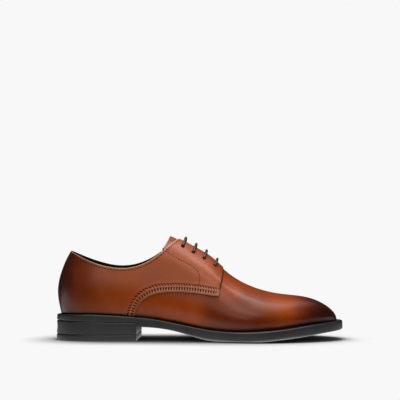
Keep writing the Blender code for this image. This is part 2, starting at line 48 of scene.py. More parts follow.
CAMERA_DISTANCE = 0.700
CAMERA_HEIGHT = 0.0605
CAMERA_PLACE = (0.0003, 0.0038 - CAMERA_DISTANCE, CAMERA_HEIGHT)
CAMERA_PITCH = math.radians(5.43)
CAMERA_SHIFT = 0.0513
CAMERA_LENS = 58.05
BACKDROP = "#F8F8F8"
FLOOR_SIZE = 14.0
CONTACT_SHADE = 0.062  # how far from the sole the floor's painted shadow reaches
FLOOR_SHADES = ((0.0, "#030303"), (0.52, "#464646"), (0.92, BACKDROP))
FLOOR_BOUNCE = 1.05  # the floor's light on the shoe, as a share of what the camera sees
FLOOR_REACH = (0.065, 0.120)  # from the shoe's middle line, where the floor's light falls off
ROOM_LIGHT = 0.02


def linear(colour):
    """An sRGB hex colour as linear red, green, blue and alpha."""
    parts = [int(colour[i : i + 2], 16) / 255 for i in (1, 3, 5)]
    return [c / 12.92 if c <= 0.04045 else ((c + 0.055) / 1.055) ** 2.4 for c in parts] + [1.0]


def add_node(tree, kind, inputs=None, **settings):
    """A shader node with its settings, and its inputs set to values or linked to sockets."""
    node = tree.nodes.new("ShaderNode" + kind)
    for name, value in settings.items():
        setattr(node, name, value)
    for name, value in (inputs or {}).items():
        socket = node.inputs[name]
        if isinstance(value, bpy.types.NodeSocket):
            tree.links.new(value, socket)
        else:
            socket.default_value = value
    return node


def ramp(tree, factor, stops):
    """A colour ramp over a factor, from places and sRGB colours."""
    node = add_node(tree, "ValToRGB", {"Fac": factor})
    points = node.color_ramp.elements
    while len(points) < len(stops):
        points.new(0.5)
    for point, (place, colour) in zip(points, stops):
        point.position = place
        point.color = linear(colour)
    return node.outputs["Color"]


def softbox(name, place, aim, size, power):
    """A soft light panel turned to its aim."""
    lamp = bpy.data.lights.new(name, "AREA")
    lamp.shape = "RECTANGLE"
    lamp.size, lamp.size_y = size
    lamp.energy = power
    stand = bpy.data.objects.new(name, lamp)
    stand.location = place
    stand.rotation_euler = (Vector(aim) - Vector(place)).to_track_quat("-Z", "Y").to_euler()
    stand.visible_camera = False
    bpy.context.scene.collection.objects.link(stand)


bpy.context.scene.view_settings.view_transform = "Standard"
eye = bpy.data.objects.new("camera", bpy.data.cameras.new("camera"))
eye.data.lens = CAMERA_LENS
eye.data.sensor_width = 36.0
eye.data.shift_y = CAMERA_SHIFT
eye.data.clip_start = 0.01
eye.location = CAMERA_PLACE
eye.rotation_euler = (math.pi / 2 + CAMERA_PITCH, 0, 0)
bpy.context.scene.collection.objects.link(eye)
bpy.context.scene.camera = eye

softbox("front softbox", (-0.20, -1.01, 0.42), (0.0, 0.0, 0.05), (0.48, 0.36), 1.0)
softbox("high softbox", (0.02, -0.74, 0.86), (0.0, 0.0, 0.05), (0.70, 0.34), 2.5)
softbox("overhead softbox", (0.05, -0.12, 1.12), (0.02, 0.0, 0.05), (1.10, 0.56), 10.0)
softbox("rear softbox", (0.20, 0.62, 0.98), (0.0, 0.0, 0.06), (0.90, 0.30), 0.8)

world = bpy.data.worlds.new("studio")
bpy.context.scene.world = world
world.use_nodes = True
tree = world.node_tree
tree.nodes.clear()
seen = add_node(tree, "LightPath")
lit = add_node(tree, "Background", {"Color": linear("#FFFFFF"), "Strength": ROOM_LIGHT})
backdrop = add_node(tree, "Background", {"Color": linear(BACKDROP), "Strength": 1.0})
sides = {0: seen.outputs["Is Camera Ray"], 1: lit.outputs[0], 2: backdrop.outputs[0]}
mixed = add_node(tree, "MixShader", sides)
add_node(tree, "OutputWorld", {"Surface": mixed.outputs[0]})

mesh = bmesh.new()
bmesh.ops.create_grid(mesh, x_segments=8, y_segments=8, size=FLOOR_SIZE / 2)
floor_data = bpy.data.meshes.new("floor")
mesh.to_mesh(floor_data)
mesh.free()
floor = bpy.data.objects.new("floor", floor_data)
bpy.context.scene.collection.objects.link(floor)
glowing_floor = bpy.data.materials.new("glowing_floor_painted_shadow")
glowing_floor.use_nodes = True
tree = glowing_floor.node_tree
tree.nodes.clear()
# The shoe's shadow on the floor is painted: an occlusion node darkens the floor's glow near the shoe, for the
# camera only.
near = add_node(tree, "AmbientOcclusion", {"Distance": CONTACT_SHADE}, samples=16)
painted_floor_shadow = ramp(tree, near.outputs["AO"], FLOOR_SHADES)
spot = add_node(tree, "SeparateXYZ", {0: add_node(tree, "TexCoord").outputs["Object"]})
away = add_node(tree, "Math", {0: spot.outputs["Y"]}, operation="ABSOLUTE")
falls = {0: away.outputs[0], 1: FLOOR_REACH[0], 2: FLOOR_REACH[1], 3: FLOOR_BOUNCE, 4: 0.0}
bounce = add_node(tree, "MapRange", falls).outputs[0]
looked_at = add_node(tree, "LightPath").outputs["Is Camera Ray"]
level = add_node(tree, "MapRange", {0: looked_at, 3: bounce, 4: 1.0}).outputs[0]
drawn = {0: looked_at, 6: linear(BACKDROP), 7: painted_floor_shadow}
painted_floor_shadow_seen = add_node(tree, "Mix", drawn, data_type="RGBA").outputs[2]
glow = add_node(tree, "Emission", {"Color": painted_floor_shadow_seen, "Strength": level})
add_node(tree, "OutputMaterial", {"Surface": glow.outputs[0]})
floor_data.materials.append(glowing_floor)

# The upper: vamp and lining, lasted in one wall of calf. The last under it is a table of cross sections,
# carried round both ends by the station's half cosine, and every other piece is laid on that same last.

SOLE_LENGTH = 0.305
BALL_WIDTH = 0.108
INSTEP_HEIGHT = 0.090  # top of the instep over the sole
BELLY_HEIGHT = 0.023  # widest level of the heel's sides over the sole
HEEL_LIFT = 0.0206  # underside of the sole over the ground, at the seat's rear
UPPER_WALL = 0.0016
SEAM_GAP = 0.0003  # between pieces that touch
TOE_LEDGE = 0.0061
THROAT_FOOT = 0.1768  # where the quarters join over the vamp, from the sole's rear
THROAT_TOP_HALF = 0.0085
THROAT_FOOT_HALF = 0.0050
FACING_CORNER = 0.1335  # top corner of the facings, from the sole's rear
FACING_CORNER_ROUND = 0.05  # share of a rib over which that corner is rounded
FACING_START = 0.1120
VAMP_SPREAD = 0.060  # over this length in front of the throat the ribs spread evenly
BACK_DEPTH = 0.0300
BACK = {"feather": 0.20, "belly": 0.06, "flank": 0.215, "shoulder": 0.62, "ridge": 1.0}
LEVELS = ("feather", "belly", "flank", "shoulder", "ridge")
FLANK_LEVEL = 0.42  # flank and shoulder heights, as shares of the way from belly to ridge
SHOULDER_LEVEL = 0.80
RIB_KNOTS = (-1.0, -0.80, -0.55, -0.25, 0.0, 0.25, 0.55, 0.80, 1.0)
SECTION_COLUMNS = "station lateral medial inside tuck belly ridge flank shoulder sway"
SECTIONS = (
    (0.000, 0.000, 0.000, 0.95, 0.12, 1.00, 0.920, 0.90, 0.62, 0.000),
    (0.060, 0.268, 0.266, 0.96, 0.12, 1.00, 0.940, 0.90, 0.62, 0.000),
    (0.160, 0.318, 0.314, 0.97, 0.12, 1.00, 0.970, 0.90, 0.62, 0.000),
    (0.280, 0.306, 0.290, 0.99, 0.14, 0.96, 1.007, 0.90, 0.61, 0.002),
    (0.400, 0.318, 0.250, 1.00, 0.15, 0.88, 1.034, 0.90, 0.60, 0.010),
    (0.450, 0.342, 0.256, 0.99, 0.14, 0.82, 0.989, 0.90, 0.59, 0.015),
    (0.500, 0.380, 0.277, 0.98, 0.12, 0.76, 0.921, 0.89, 0.58, 0.021),
    (0.550, 0.430, 0.314, 0.96, 0.10, 0.69, 0.836, 0.88, 0.57, 0.027),
    (0.600, 0.482, 0.362, 0.94, 0.07, 0.62, 0.697, 0.87, 0.56, 0.033),
    (0.700, 0.530, 0.436, 0.92, 0.04, 0.50, 0.493, 0.87, 0.57, 0.042),
    (0.800, 0.472, 0.456, 0.90, 0.03, 0.42, 0.381, 0.89, 0.60, 0.040),
    (0.900, 0.350, 0.372, 0.89, 0.03, 0.33, 0.296, 0.90, 0.62, 0.026),
    (0.965, 0.226, 0.242, 0.88, 0.03, 0.22, 0.180, 0.91, 0.62, 0.012),
    (1.000, 0.000, 0.000, 0.88, 0.03, 0.00, 0.000, 0.91, 0.62, 0.000),
)
PROFILE_COLUMNS = "station top edge tread"
PROFILE = (
    (0.000, 1.300, 0.710, 0.710),
    (0.150, 1.300, 0.710, 0.710),
    (0.290, 1.165, 0.700, 0.700),
    (0.350, 1.065, 0.655, 0.640),
    (0.410, 0.905, 0.525, 0.490),
    (0.465, 0.745, 0.340, 0.270),
    (0.520, 0.605, 0.165, 0.060),
    (0.560, 0.540, 0.112, 0.000),
    (0.700, 0.543, 0.112, 0.000),
    (0.780, 0.640, 0.215, 0.095),
    (0.855, 0.780, 0.320, 0.215),
    (0.940, 0.905, 0.450, 0.400),
    (1.000, 0.985, 0.535, 0.535),
)
TOPLINE_COLUMNS = "station height medial_rise"
TOPLINE = (
    (0.050, 0.738, 0.000),
    (0.122, 0.613, 0.022),
    (0.188, 0.551, 0.038),
    (0.237, 0.545, 0.053),
    (0.300, 0.603, 0.069),
    (0.365, 0.767, 0.057),
    (0.418, 0.962, 0.016),
    (0.440, 1.036, 0.000),
)
WELD = 1e-6
RIB_SAMPLES = 120  # points from which even steps along a rib are worked out
OUTLINE_SAMPLES = 400
CLIMB_SAMPLES = 241
NUDGE = 1e-4  # of angle and rib place, for the last's slopes
TIP_ANGLE = 0.01  # nearer than this to the toe's tip, the last faces straight ahead
SHARP_ANGLE = math.radians(40)
VAMP_ROW = 0.0030  # spacing of the upper's rows of faces along the shoe
UPPER_COLUMNS = 26
THROAT_COLUMNS = 4


def columns(names, rows):
    """The table's columns by name."""
    return dict(zip(names.split(), np.array(rows).T))


def smooth(knots, values, start_level=True, end_level=True):
    """A curve of continuous curvature through the values. It leaves each end level, or else unbent."""
    knots = np.asarray(knots, float)
    values = np.asarray(values, float)
    wide = values.reshape(len(knots), -1)
    step = np.diff(knots)
    slope = np.diff(wide, axis=0) / step[:, None]
    last = len(knots) - 1
    system = np.eye(last + 1)
    right = np.zeros_like(wide)
    for i in range(1, last):
        system[i, i - 1 : i + 2] = step[i - 1], 2 * (step[i - 1] + step[i]), step[i]
        right[i] = 6 * (slope[i] - slope[i - 1])
    if start_level:
        system[0, :2] = 2 * step[0], step[0]
        right[0] = 6 * slope[0]
    if end_level:
        system[last, -2:] = step[-1], 2 * step[-1]
        right[last] = -6 * slope[-1]
    bend = np.linalg.solve(system, right)

    def at(place):
        place = np.asarray(place, float)
        i = np.clip(np.searchsorted(knots, place) - 1, 0, last - 1)
        width = step[i]
        b = ((place - knots[i]) / width)[..., None]
        a = 1 - b
        curve = a * wide[i] + b * wide[i + 1]
        curve += ((a**3 - a) * bend[i] + (b**3 - b) * bend[i + 1]) * width[..., None] ** 2 / 6
        return curve.reshape(place.shape + values.shape[1:])

    return at


def angle_of(share):
    return np.arccos(1 - 2 * np.clip(share, 0, 1))


def share_of(angle):
    return (1 - np.cos(angle)) / 2


def ease(value):
    value = np.clip(value, 0, 1)
    return value * value * (3 - 2 * value)


section_table = columns(SECTION_COLUMNS, SECTIONS)
ANGLES = angle_of(section_table["station"])
UNBENT = {"lateral": (False, False), "medial": (False, False), "sway": (False, False)}
UNBENT |= {"belly": (True, False), "ridge": (True, False)}
SECTION = {
    name: smooth(ANGLES, section_table[name], *UNBENT.get(name, (True, True)))
    for name in section_table
    if name != "station"
}
profile_table = columns(PROFILE_COLUMNS, PROFILE)
topline_table = columns(TOPLINE_COLUMNS, TOPLINE)
TOPLINE_HEIGHT = smooth(topline_table["station"], topline_table["height"], False, False)
MEDIAL_RISE = smooth(topline_table["station"], topline_table["medial_rise"])
RIB_BASIS = smooth(RIB_KNOTS, np.eye(len(RIB_KNOTS)), False, False)
LAST_LENGTH = SOLE_LENGTH - TOE_LEDGE
densely = np.linspace(0, np.pi, OUTLINE_SAMPLES)
MIDDLE_Y = BALL_WIDTH * (SECTION["medial"](densely).max() - SECTION["lateral"](densely).max()) / 2
ORIGIN = np.array([SOLE_LENGTH / 2, MIDDLE_Y, 0.0])  # the box's middle, from the sole's rear


def sole_height(name):
    """Height of the sole's top, edge or tread over the ground, as a function of x from the sole's rear."""
    curve = smooth(profile_table["station"], profile_table[name], True, False)
    return lambda x: np.maximum(curve(np.clip(x / SOLE_LENGTH, 0, 1)), 0) * HEEL_LIFT


sole_top = sole_height("top")
sole_edge = sole_height("edge")
sole_tread = sole_height("tread")


def guides(angle):
    """Points of the last's nine guide lines at each station angle, from outer feather over ridge to inner."""
    part = {name: curve(angle) for name, curve in SECTION.items()}
    heel = np.clip(np.cos(angle), 0, 1) ** 3
    ridge_y = part["sway"] * BALL_WIDTH
    points = np.zeros(np.shape(angle) + (len(RIB_KNOTS), 3))
    for number, level in enumerate(LEVELS):
        x = LAST_LENGTH * share_of(angle) + BACK[level] * BACK_DEPTH * heel
        foot = sole_top(x) + SEAM_GAP
        belly = foot + part["belly"] * BELLY_HEIGHT
        ridge = foot + part["ridge"] * INSTEP_HEIGHT
        climb = {"flank": FLANK_LEVEL, "shoulder": SHOULDER_LEVEL, "ridge": 1.0}.get(level, 0.0)
        z = foot if level == "feather" else belly + climb * (ridge - belly)
        for side, width in ((-1, part["lateral"]), (1, part["medial"])):
            belly_y = side * width * part["inside"] * BALL_WIDTH
            y = {
                "feather": belly_y * (1 - part["tuck"]),
                "belly": belly_y,
                "flank": ridge_y + part["flank"] * (belly_y - ridge_y),
                "shoulder": ridge_y + part["shoulder"] * (belly_y - ridge_y),
                "ridge": ridge_y,
            }[level]
            place = number if side < 0 else len(RIB_KNOTS) - 1 - number
            points[..., place, :] = np.stack([x, y, z], axis=-1)
    return points


def on_last(angle, v, out=0.0):
    """Points of the last at station angle and rib place v, from -1 outside over 0 to 1 inside, moved out."""
    angle, v, out = np.broadcast_arrays(np.asarray(angle, float), np.asarray(v, float), out)

    def point(angle, v):
        return np.einsum("...k,...kc->...c", RIB_BASIS(v), guides(angle))

    tip = angle > np.pi - TIP_ANGLE
    inner = np.where(tip, np.pi - TIP_ANGLE, angle)
    along = point(inner + NUDGE, v) - point(inner - NUDGE, v)
    across = point(inner, v + NUDGE) - point(inner, v - NUDGE)
    normal = np.cross(along, across)
    normal /= np.linalg.norm(normal, axis=-1, keepdims=True)
    normal = np.where(tip[..., None], [1.0, 0.0, 0.0], normal)
    return point(angle, v) + normal * out[..., None]


def climb(angle, side, passed):
    """The rib place at which passed(points) first turns positive on the way up from the sole."""
    v = side * np.linspace(1, 0, CLIMB_SAMPLES)
    measure = passed(on_last(np.full(v.shape, angle), v))
    if measure[0] >= 0:
        return float(side)
    first = int(np.argmax(measure >= 0))
    if measure[first] < 0:
        return 0.0
    share = -measure[first - 1] / (measure[first] - measure[first - 1])
    return float(v[first - 1] + share * (v[first] - v[first - 1]))


def topline(side):
    def passed(points):
        station = np.clip(points[:, 0] / SOLE_LENGTH, TOPLINE[0][0], TOPLINE[-1][0])
        height = TOPLINE_HEIGHT(station) + max(side, 0) * MEDIAL_RISE(station)
        return points[:, 2] - sole_top(points[:, 0]) - height * INSTEP_HEIGHT

    return passed


def throat_edge(points):
    ridge_y = SECTION["sway"](angle_of(points[:, 0] / LAST_LENGTH)) * BALL_WIDTH
    share = np.clip((points[:, 0] - FACING_CORNER) / (THROAT_FOOT - FACING_CORNER), 0, 1)
    return THROAT_TOP_HALF + share * (THROAT_FOOT_HALF - THROAT_TOP_HALF) - np.abs(points[:, 1] - ridge_y)


def upper_end(angle, side):
    """Where a rib ends: at the topline, or at the throat's edge, with the corner between them rounded."""
    if LAST_LENGTH * share_of(angle) < FACING_START:
        return climb(angle, side, topline(side))
    ends = abs(climb(angle, side, topline(side))), abs(climb(angle, side, throat_edge))
    blend = np.clip(0.5 + (ends[0] - ends[1]) / (2 * FACING_CORNER_ROUND), 0, 1)
    rounded = blend * ends[0] + (1 - blend) * ends[1] + FACING_CORNER_ROUND * blend * (1 - blend)
    return side * rounded


def angle_at(x):
    return angle_of(x / LAST_LENGTH)


def length_along(points):
    return np.concatenate([[0], np.cumsum(np.linalg.norm(np.diff(points, axis=0), axis=1))])


def rib_angles(start, end, pitch):
    """Station angles between two angles at even steps along the belly's outline."""
    angles = np.linspace(start, end, OUTLINE_SAMPLES)
    run = length_along(guides(angles)[:, 1])
    count = max(2, round(run[-1] / pitch))
    return np.interp(np.linspace(0, run[-1], count + 1), run, angles)


def rib(angles, start, end, steps):
    """Angles and rib places from start to end at even steps along the leather."""
    v = np.linspace(start, end, len(angles))
    run = length_along(on_last(angles, v))
    even = np.linspace(0, run[-1], steps + 1)
    return np.interp(even, run, angles), np.interp(even, run, v)


def sheet(points, keep=None):
    """A grid laid through points[row, column], with the faces that keep turns down left out."""
    rows, across = points.shape[0] - 1, points.shape[1] - 1
    mesh = bmesh.new()
    bmesh.ops.create_grid(mesh, x_segments=rows, y_segments=across, size=1.0)
    places = points - ORIGIN
    spot = {}
    for vert in mesh.verts:
        row = round((vert.co.x + 1) / 2 * rows)
        column = round((vert.co.y + 1) / 2 * across)
        spot[vert] = row, column
        vert.co = places[row, column]
    if keep:
        corners = {face: np.min([spot[vert] for vert in face.verts], axis=0) for face in mesh.faces}
        left_out = [face for face, corner in corners.items() if not keep(*corner)]
        bmesh.ops.delete(mesh, geom=left_out, context="FACES")
    bmesh.ops.remove_doubles(mesh, verts=mesh.verts, dist=WELD)
    return mesh


def add_piece(name, mesh, *surfaces):
    """An object of the mesh with its materials."""
    data = bpy.data.meshes.new(name)
    mesh.to_mesh(data)
    mesh.free()
    data.shade_smooth()
    for surface in surfaces:
        data.materials.append(surface)
    piece = bpy.data.objects.new(name, data)
    bpy.context.scene.collection.objects.link(piece)
    return piece


def thicken(piece, thickness, outwards, inside=0, rim=0):
    """A wall of real thickness, with materials for its inside and its cut edge."""
    wall = piece.modifiers.new("thickness", "SOLIDIFY")
    wall.thickness = thickness
    wall.offset = 1.0 if outwards else -1.0
    wall.use_even_offset = True
    wall.use_quality_normals = True
    wall.material_offset = inside
    wall.material_offset_rim = rim


def round_edges(piece, width, angle=50):
    edge = piece.modifiers.new("edges", "BEVEL")
    edge.width = width
    edge.segments = 2
    edge.limit_method = "ANGLE"
    edge.angle_limit = math.radians(angle)


def settle(piece):
    """The piece's mesh with its modifiers worked in."""
    bpy.context.view_layer.update()
    evaluated = piece.evaluated_get(bpy.context.evaluated_depsgraph_get())
    data = bpy.data.meshes.new_from_object(evaluated)
    piece.modifiers.clear()
    old = piece.data
    piece.data = data
    bpy.data.meshes.remove(old)
    data.name = piece.name
    data.shade_smooth()
    data.set_sharp_from_angle(angle=SHARP_ANGLE)


def points_of(piece):
    found = np.zeros(len(piece.data.vertices) * 3)
    piece.data.vertices.foreach_get("co", found)
    return found.reshape(-1, 3) + ORIGIN


def note(piece, name, values):
    """Keeps a number for each point of the piece, which its material reads."""
    kept = piece.data.attributes.get(name) or piece.data.attributes.new(name, "FLOAT", "POINT")
    kept.data.foreach_set("value", np.asarray(values, np.float32))


def beside(points, line):
    """Each point's distance from the line, and how far along the line its foot lies."""
    starts, steps = line[:-1], np.diff(line, axis=0)
    lengths = np.linalg.norm(steps, axis=1)
    run = length_along(line)
    gaps, runs = [], []
    for first in range(0, len(points), 2000):
        part = points[first : first + 2000, None] - starts[None]
        share = np.clip(np.einsum("psc,sc->ps", part, steps) / lengths**2, 0, 1)
        gap = np.linalg.norm(part - share[..., None] * steps[None], axis=2)
        best = np.argmin(gap, axis=1)
        spots = np.arange(len(best))
        gaps.append(gap[spots, best])
        runs.append(run[best] + share[spots, best] * lengths[best])
    return np.concatenate(gaps), np.concatenate(runs)


HEEL_BURNISH = ((0.45, (0.0, 0.080)), (0.55, (0.002, 0.030)))  # share, and the span over which it fades
TOE_BURNISH = (0.238, 0.294)
WING_SHADE = ((0.148, 0.172), (0.206, 0.236), (0.026, 0.046))  # painted shade on the vamp's side under the quarters: rear, front and height over the sole
WING_SHADE_SHARE = 0.34
LOW_SHADE = ((0.14, (0.0, 0.026)), (0.80, (0.0008, 0.0034)))  # painted shade, strong in the seam just over the sole and faint higher: share, and the span over the sole over which it fades


def through(value, span):
    """How far the value has gone through the span, eased at both ends."""
    return ease((value - span[0]) / (span[1] - span[0]))


def burnish_and_shade(points):
    """How dark the leather is drawn, from 0 to 1: burnished polish, full at heel and toe, and painted shade
    on the vamp's side and low by the sole.
    """
    x = points[:, 0]
    over = points[:, 2] - sole_top(x)
    heel = sum(share * (1 - through(x, span)) for share, span in HEEL_BURNISH)
    toe = through(x, TOE_BURNISH)
    rear, front, top = WING_SHADE
    # wing and low are painted shade; heel and toe are the polish.
    wing = WING_SHADE_SHARE * through(x, rear) * (1 - through(x, front)) * (1 - through(over, top))
    low = sum(share * (1 - through(over, span)) for share, span in LOW_SHADE)
    return np.clip(heel + toe + low + wing, 0, 1)


CALF_STOPS = ((0.0, "#AC4709"), (0.25, "#843003"), (0.60, "#521402"), (1.0, "#220401"))
RAW_EDGE = "#E3BE98"
RAW_LINE = (0.0004, 0.0008)  # from the top edge, where the pale line ends
INK_AND_SHADE = "#1A0A05"
INK_AND_SHADE_LINE = (0.0010, 0.0016)  # from the lower and front edges, where the ink and the painted shade under the edge end
HIGHLIGHT_CALF = "#D98C68"
HIGHLIGHT_BAND = (0.0045, 0.0105)  # painted highlight across the band over the lower edge
HIGHLIGHT_RUN = (0.008, 0.034)  # along it from the sole, where the painted highlight grows
WAX_COAT = 0.55
WAX_ROUGHNESS = 0.31
CALF_GLEAM = 0.45
INK_GLEAM = 0.02
GLEAM_TINT = "#FF9C60"  # the dye warms the shine under the wax
SLOT_PITCH = 0.00270
SLOT_SLANT = 0.8  # of the upper row
SLOT_BLUR = 0.0002
LOW_SLOTS = (0.0017, 0.0050)  # the rows' reach over the quarter's edge
HIGH_SLOTS = (0.0064, 0.0090)
SLOT_MARGIN = 0.0030  # the rows stop this far behind the front edge


def new_material(name):
    """A material with its nodes, its shader and the shoe's own coordinates."""
    surface = bpy.data.materials.new(name)
    surface.use_nodes = True
    tree = surface.node_tree
    return surface, tree, tree.nodes["Principled BSDF"], add_node(tree, "TexCoord").outputs["Object"]


def awl_slots(tree):
    """Where the quarter's lower band has its two rows of slots, from 0 to 1; the material paints them dark as
    the shade in them. The upper row slants.
    """
    # a range node's inputs 1 to 4 are the range from low to high, and what it turns into
    run = add_node(tree, "Attribute", attribute_name="band_run").outputs["Fac"]
    height = add_node(tree, "Attribute", attribute_name="band_height").outputs["Fac"]
    behind = add_node(tree, "Attribute", attribute_name="from_front").outputs["Fac"]
    rows = []
    for (low, high), slant in ((LOW_SLOTS, 0.0), (HIGH_SLOTS, SLOT_SLANT)):
        place = add_node(tree, "Math", {0: height, 1: slant, 2: run}, operation="MULTIPLY_ADD")
        phase = add_node(tree, "Math", {0: place.outputs[0], 1: math.tau / SLOT_PITCH}, operation="MULTIPLY")
        wave = add_node(tree, "Math", {0: phase.outputs[0]}, operation="SINE")
        cut = add_node(tree, "MapRange", {0: wave.outputs[0], 1: -0.15, 2: 0.15})
        over = add_node(tree, "MapRange", {0: height, 1: low - SLOT_BLUR, 2: low + SLOT_BLUR})
        ends = {0: height, 1: high - SLOT_BLUR, 2: high + SLOT_BLUR, 3: 1.0, 4: 0.0}
        below = add_node(tree, "MapRange", ends)
        inside = add_node(tree, "Math", {0: over.outputs[0], 1: below.outputs[0]}, operation="MULTIPLY")
        rows.append(add_node(tree, "Math", {0: cut.outputs[0], 1: inside.outputs[0]}, operation="MULTIPLY"))
    both = add_node(tree, "Math", {0: rows[0].outputs[0], 1: rows[1].outputs[0]}, operation="MAXIMUM")
    ends = add_node(tree, "MapRange", {0: behind, 1: SLOT_MARGIN, 2: SLOT_MARGIN + 0.0004, 4: 0.9})
    return add_node(tree, "Math", {0: both.outputs[0], 1: ends.outputs[0]}, operation="MULTIPLY").outputs[0]


def calf(name, edge=False):
    """Tan box calf, burnished by hand: fine pores and a waxed gloss over clouded aniline dye, darkened by
    burnish and painted shade. edge adds a quarter's pale top line, a dark line of edge ink and painted shade
    along its cut edges, a painted highlight over its stitched band, and slots painted dark as the shade in
    them."""
    surface, tree, shader, place = new_material(name)
    dark = add_node(tree, "Attribute", attribute_name="burnish_and_shade").outputs["Fac"]
    cloud = add_node(tree, "TexNoise", {"Vector": place, "Scale": 38.0, "Detail": 3.0, "Roughness": 0.55})
    wash = add_node(tree, "MapRange", {0: cloud.outputs["Fac"], 1: 0.3, 2: 0.7, 3: -0.09, 4: 0.11})
    tone = add_node(tree, "Math", {0: dark, 1: wash.outputs[0]}, operation="ADD", use_clamp=True)
    colour = ramp(tree, tone.outputs[0], CALF_STOPS)
    if edge:
        kept = ("from_edge", "from_cut", "band_height", "band_run")
        gap, cut, height, run = (
            add_node(tree, "Attribute", attribute_name=name).outputs["Fac"] for name in kept
        )
        pale = add_node(tree, "MapRange", {0: gap, 1: RAW_LINE[0], 2: RAW_LINE[1], 3: 0.90, 4: 0.0})
        # A dark line along the quarter's lower and front edges: edge ink, widened with painted shade where
        # the edge steps down onto the vamp.
        ink_and_shade = add_node(tree, "MapRange", {0: cut, 1: INK_AND_SHADE_LINE[0], 2: INK_AND_SHADE_LINE[1], 3: 0.97, 4: 0.0})
        # A painted highlight on the raised band over the quarter's lower edge, growing along it away from the
        # sole.
        grows = {0: run, 1: HIGHLIGHT_RUN[0], 2: HIGHLIGHT_RUN[1], 3: 0.45, 4: 1.0}
        forward = add_node(tree, "MapRange", grows)
        fades = {0: height, 1: HIGHLIGHT_BAND[0], 2: HIGHLIGHT_BAND[1], 3: 0.66, 4: 0.06}
        across = add_node(tree, "MapRange", fades)
        painted_highlight = add_node(tree, "Math", {0: across.outputs[0], 1: forward.outputs[0]}, operation="MULTIPLY")
        # The slots are drawn dark, painted shade in their depth, and sunk a little by a bump.
        slots = awl_slots(tree)
        for share, dye in (
            (pale.outputs[0], RAW_EDGE),
            (ink_and_shade.outputs[0], INK_AND_SHADE),
            (painted_highlight.outputs[0], HIGHLIGHT_CALF),
            (slots, INK_AND_SHADE),
        ):
            drawn = {0: share, 6: colour, 7: linear(dye)}
            colour = add_node(tree, "Mix", drawn, data_type="RGBA").outputs[2]
    pores = add_node(tree, "TexNoise", {"Vector": place, "Scale": 1300.0, "Detail": 2.0})
    waves = add_node(tree, "TexNoise", {"Vector": place, "Scale": 120.0, "Detail": 2.0})
    relief = add_node(tree, "Math", {0: pores.outputs["Fac"], 1: waves.outputs["Fac"]}, operation="ADD")
    bump = add_node(tree, "Bump", {"Height": relief.outputs[0], "Strength": 0.10, "Distance": 0.0003})
    if edge:
        sunk = {"Height": slots, "Normal": bump.outputs[0], "Strength": 0.5, "Distance": 0.0004}
        bump = add_node(tree, "Bump", sunk, invert=True)
        waxed = add_node(tree, "Math", {0: slots, 1: ink_and_shade.outputs[0]}, operation="MAXIMUM")
        coat = add_node(tree, "MapRange", {0: waxed.outputs[0], 3: WAX_COAT, 4: 0.0})
        gleam = add_node(tree, "MapRange", {0: waxed.outputs[0], 3: CALF_GLEAM, 4: INK_GLEAM})
        tree.links.new(coat.outputs[0], shader.inputs["Coat Weight"])
        tree.links.new(gleam.outputs[0], shader.inputs["Specular IOR Level"])
    gloss = add_node(tree, "MapRange", {0: waves.outputs["Fac"], 1: 0.3, 2: 0.7, 3: 0.42, 4: 0.50})
    links = {"Base Color": colour, "Roughness": gloss.outputs[0], "Normal": bump.outputs[0]}
    for socket, value in links.items():
        tree.links.new(value, shader.inputs[socket])
    shader.inputs["Specular IOR Level"].default_value = CALF_GLEAM
    shader.inputs["Coat Weight"].default_value = WAX_COAT
    shader.inputs["Specular Tint"].default_value = linear(GLEAM_TINT)
    shader.inputs["Coat Roughness"].default_value = WAX_ROUGHNESS
    return surface


def plain_leather(name, colours, roughness, grain):
    """Leather inside the shoe: dull, with a visible nap. grain is its marks to the metre."""
    surface, tree, shader, place = new_material(name)
    nap = add_node(tree, "TexNoise", {"Vector": place, "Scale": grain, "Detail": 4.0})
    colour = ramp(tree, nap.outputs["Fac"], ((0.3, colours[0]), (0.7, colours[1])))
    bump = add_node(tree, "Bump", {"Height": nap.outputs["Fac"], "Strength": 0.25, "Distance": 0.0003})
    tree.links.new(colour, shader.inputs["Base Color"])
    tree.links.new(bump.outputs[0], shader.inputs["Normal"])
    shader.inputs["Roughness"].default_value = roughness
    shader.inputs["Specular IOR Level"].default_value = 0.25
    return surface


vamp_calf = calf("burnished_box_calf_vamp")
lining_leather = plain_leather("black_lining_leather", ("#17100D", "#241A15"), 0.55, 700.0)
inked_edge = plain_leather("inked_cut_edge_of_calf", ("#160804", "#2A120A"), 0.50, 900.0)

foot = angle_at(THROAT_FOOT)
rows = np.concatenate([rib_angles(0, foot, VAMP_ROW)[:-1], rib_angles(foot, np.pi, VAMP_ROW)])
foot_row = int(np.argmin(np.abs(rows - foot)))
points = []
for row, angle in enumerate(rows):
    steady = np.full(RIB_SAMPLES, angle)
    outer, inner = upper_end(angle, -1), upper_end(angle, 1)
    if row == 0:
        inner = -outer
    _, over = rib(steady, -1, 1, 2 * UPPER_COLUMNS + THROAT_COLUMNS)
    spread = ease((LAST_LENGTH * share_of(angle) - THROAT_FOOT) / VAMP_SPREAD)
    outer += spread * (over[UPPER_COLUMNS] - outer)
    inner += spread * (over[-1 - UPPER_COLUMNS] - inner)
    v = np.concatenate([
        rib(steady, -1, outer, UPPER_COLUMNS)[1],
        rib(steady, outer, inner, THROAT_COLUMNS)[1][1:-1],
        rib(steady, inner, 1, UPPER_COLUMNS)[1],
    ])
    points.append(on_last(np.full(v.shape, angle), v))
mesh = sheet(
    np.array(points),
    lambda row, column: row >= foot_row or not UPPER_COLUMNS <= column < UPPER_COLUMNS + THROAT_COLUMNS,
)
vamp = add_piece("vamp_and_lining", mesh, vamp_calf, lining_leather)
thicken(vamp, UPPER_WALL, outwards=False, inside=1, rim=1)

# The quarters: one layer of calf on each side, closed at the back seam and stitched down over the vamp. Each
# carries its facing with four punched lace holes. Three raised ridges follow its lower edge, with awl slots.

